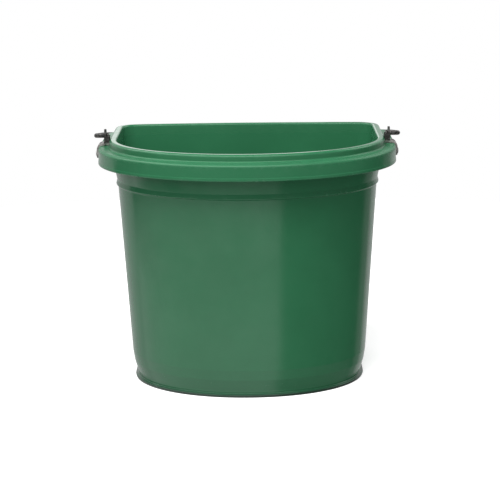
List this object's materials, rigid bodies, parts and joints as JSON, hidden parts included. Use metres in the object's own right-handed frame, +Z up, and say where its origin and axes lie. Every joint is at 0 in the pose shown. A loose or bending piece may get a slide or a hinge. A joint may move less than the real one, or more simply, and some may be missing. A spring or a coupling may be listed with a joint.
{
  "type": "feed bucket",
  "caption": "Flat-back moulded stable feed bucket with a skirted, lipped rim, riveted steel ears and a swinging wire bail.",
  "frame": {"origin": "on the surface that it stands on, under the middle of the overall box with the bail lying back", "axes": "+Z up through the open mouth, -Y towards the rounded front, +Y towards the flat back, X across the ears and along the bail's hinge line"},
  "size_m": [0.399, 0.3914, 0.3255],
  "materials": {
    "green_plastic": "semi-gloss moulded polyethylene",
    "dark_wire": "black coated steel wire",
    "ear_steel": "dark zinc plated sheet",
    "rivet_steel": "zinc plated"
  },
  "bodies": {
    "tub": {"tub": "green_plastic", "left_ear": "ear_steel", "right_ear": "ear_steel", "left_ear_rivets": "rivet_steel", "right_ear_rivets": "rivet_steel", "left_rivet_washers": "rivet_steel", "right_rivet_washers": "rivet_steel"},
    "bail": {"bail": "dark_wire"}
  },
  "joints": [
    {"name": "bail_swing", "type": "hinge", "parent": "tub", "child": "bail", "pos_m": [0, -0.0175, 0.317], "axis": [1, 0, 0], "range_deg": [0, 210]}
  ]
}
